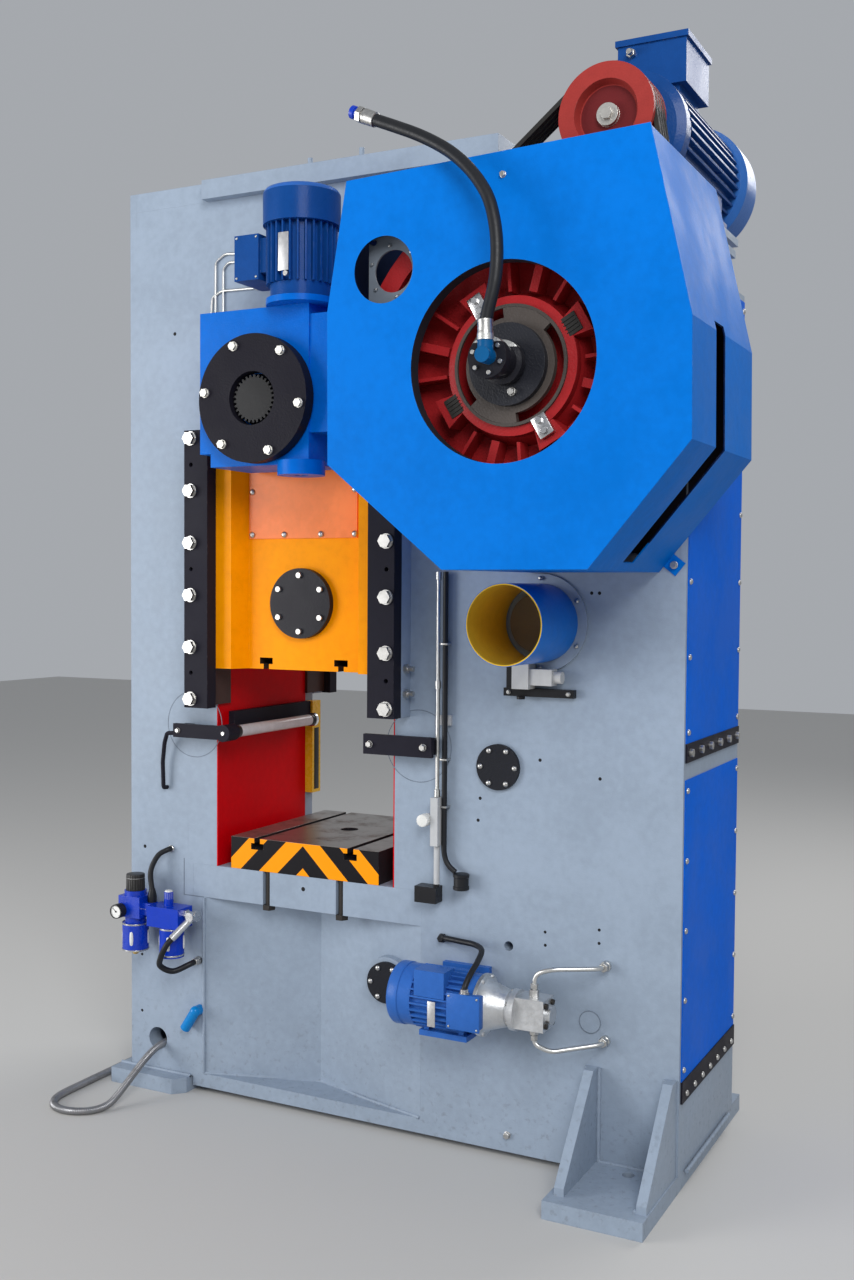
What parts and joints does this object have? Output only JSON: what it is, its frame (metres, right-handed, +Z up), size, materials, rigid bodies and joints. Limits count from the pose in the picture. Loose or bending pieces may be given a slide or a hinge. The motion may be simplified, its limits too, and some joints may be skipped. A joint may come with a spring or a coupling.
{
  "type": "mechanical stamping press",
  "caption": "Closed-frame mechanical press: a toggle-driven slide in gibs over a slotted bolster, with a guarded flywheel and belt drive.",
  "frame": {"origin": "on the floor under the middle of the press's outline, without its hose and conduit", "axes": "+X to the right seen from the operator, +Y to the rear, +Z up"},
  "size_m": [2.163, 1.717, 3.11],
  "materials": {
    "frame_paint": "semi-gloss grey-blue enamel",
    "blue_sheet": "glossy bright blue enamel",
    "panel_blue": "glossy deep blue enamel",
    "black_paint": "satin black enamel",
    "bronze": "machined bronze, oiled",
    "red_paint": "glossy red enamel",
    "zinc": "zinc-plated steel",
    "hazard": "orange and black chevrons, machined top",
    "slide_orange": "glossy orange enamel",
    "cover_orange": "glossy salmon-orange enamel",
    "ground_steel": "ground and oiled steel",
    "forged_iron": "machined casting, oiled",
    "gearbox_blue": "blue enamel over cast iron",
    "motor_blue": "dark blue enamel over cast iron",
    "wheel_red": "dark red enamel over cast iron",
    "pulley_red": "faded red enamel over cast iron",
    "clutch_iron": "turned cast iron with light rust",
    "belt_rubber": "dusty black rubber",
    "alloy": "die-cast aluminium",
    "valve_steel": "brushed stainless steel",
    "hose_black": "black rubber hose",
    "service_blue": "blue plastic and enamel",
    "knob_black": "moulded black plastic",
    "chrome": "polished tube",
    "curtain_yellow": "yellow and black housing",
    "conduit_grey": "flexible metal conduit"
  },
  "bodies": {
    "frame": {"frame_front": "frame_paint", "frame_rear": "frame_paint", "frame_walls": "frame_paint", "crown_plate": "frame_paint", "bed_plate": "frame_paint", "bed_recess": "frame_paint", "foot_left": "frame_paint", "foot_right": "frame_paint", "gib_rails": "frame_paint", "gib_keepers": "black_paint", "gib_liners": "bronze", "window_liners": "red_paint", "side_panels": "panel_blue", "side_strips": "black_paint", "frame_covers": "black_paint", "frame_bolts": "zinc", "bolster": "hazard", "bolster_bolts": "zinc", "adjust_housing": "gearbox_blue", "adjust_flange": "black_paint", "adjust_motor": "motor_blue", "bearing_housing": "forged_iron", "shaft_bushes": "bronze", "rotary_union": "black_paint", "belt_guard": "blue_sheet", "drive_belts": "belt_rubber", "main_motor": "motor_blue", "motor_base": "frame_paint", "shaft_guard": "blue_sheet", "limit_valve": "valve_steel", "lube_motor": "motor_blue", "lube_pump": "alloy", "steel_tubes": "zinc", "black_hoses": "hose_black", "air_regulator": "service_blue", "lubricator": "service_blue", "lamp_brackets": "black_paint", "light_curtain": "curtain_yellow", "pressure_switch": "alloy", "air_hose": "hose_black", "hose_end": "valve_steel", "conduit": "conduit_grey", "conduit_coil": "conduit_grey", "conduit_plug": "alloy"},
    "slide": {"slide": "slide_orange", "slide_cover": "cover_orange", "pin_cover": "black_paint"},
    "upper_link": {"upper_link": "forged_iron"},
    "lower_link": {"lower_link": "forged_iron"},
    "pivot_shaft": {"pivot_shaft": "ground_steel"},
    "worm_shaft": {"worm_shaft": "ground_steel"},
    "flywheel": {"flywheel": "wheel_red"},
    "clutch": {"drive_shaft": "ground_steel", "clutch_hub": "clutch_iron"},
    "countershaft": {"countershaft": "ground_steel"},
    "crankshaft": {"crankshaft": "ground_steel"},
    "motor_pulley": {"motor_pulley": "pulley_red"},
    "regulator_knob": {"regulator_knob": "knob_black"},
    "valve_knob": {"valve_knob": "knob_black"},
    "lamp": {"lamp": "chrome"}
  },
  "joints": [
    {"name": "slide_stroke", "type": "slide", "parent": "frame", "child": "slide", "axis": [0, 0, 1], "range_m": [-0.13, 0]},
    {"name": "upper_link_swing", "type": "hinge", "parent": "frame", "child": "upper_link", "pos_m": [-0.3365, 0.286, 2.212], "axis": [0, 1, 0], "range_deg": [0, 17.98]},
    {"name": "lower_link_swing", "type": "hinge", "parent": "slide", "child": "lower_link", "pos_m": [-0.3365, 0.286, 1.613], "axis": [0, 1, 0], "range_deg": [-17.98, 0]},
    {"name": "adjust_turn", "type": "hinge", "parent": "frame", "child": "pivot_shaft", "pos_m": [-0.3365, -0.105, 2.212], "axis": [0, 1, 0], "range_deg": [-90, 90]},
    {"name": "worm_turn", "type": "hinge", "parent": "frame", "child": "worm_shaft", "pos_m": [-0.2185, -0.205, 2.212], "axis": [0, 0, 1], "range_deg": [-3600, 3600]},
    {"name": "flywheel_spin", "type": "hinge", "parent": "frame", "child": "flywheel", "pos_m": [0.5765, -0.405, 2.212], "axis": [0, 1, 0], "continuous": true},
    {"name": "motor_spin", "type": "hinge", "parent": "frame", "child": "motor_pulley", "pos_m": [0.8005, -0.405, 2.803], "axis": [0, 1, 0], "continuous": true},
    {"name": "crank_spin", "type": "hinge", "parent": "frame", "child": "crankshaft", "pos_m": [0.4625, 0.286, 1.567], "axis": [0, 1, 0], "continuous": true},
    {"name": "counter_spin", "type": "hinge", "parent": "frame", "child": "countershaft", "pos_m": [0.43139, 0.286, 1.91562], "axis": [0, 1, 0], "continuous": true},
    {"name": "clutch_spin", "type": "hinge", "parent": "frame", "child": "clutch", "pos_m": [0.5765, 0.286, 2.212], "axis": [0, 1, 0], "continuous": true},
    {"name": "regulator_turn", "type": "hinge", "parent": "frame", "child": "regulator_knob", "pos_m": [-0.9395, -0.075, 0.69], "axis": [0, 0, 1], "range_deg": [-720, 720]},
    {"name": "valve_turn", "type": "hinge", "parent": "frame", "child": "valve_knob", "pos_m": [0.1145, -0.05, 0.98], "axis": [0, 1, 0], "range_deg": [-180, 180]},
    {"name": "lamp_turn", "type": "hinge", "parent": "frame", "child": "lamp", "pos_m": [-0.5955, -0.005, 1.198], "axis": [0, 1, 0], "range_deg": [-60, 60]}
  ],
  "couplings": [
    {"joint": "upper_link_swing", "follows": "slide_stroke", "rad_per_m": -2.4067},
    {"joint": "lower_link_swing", "follows": "slide_stroke", "rad_per_m": 2.4067},
    {"joint": "worm_turn", "follows": "adjust_turn", "ratio": 40},
    {"joint": "motor_spin", "follows": "flywheel_spin", "ratio": 3.812},
    {"joint": "counter_spin", "follows": "crank_spin", "ratio": -3.1667},
    {"joint": "clutch_spin", "follows": "crank_spin", "ratio": 11.762}
  ]
}
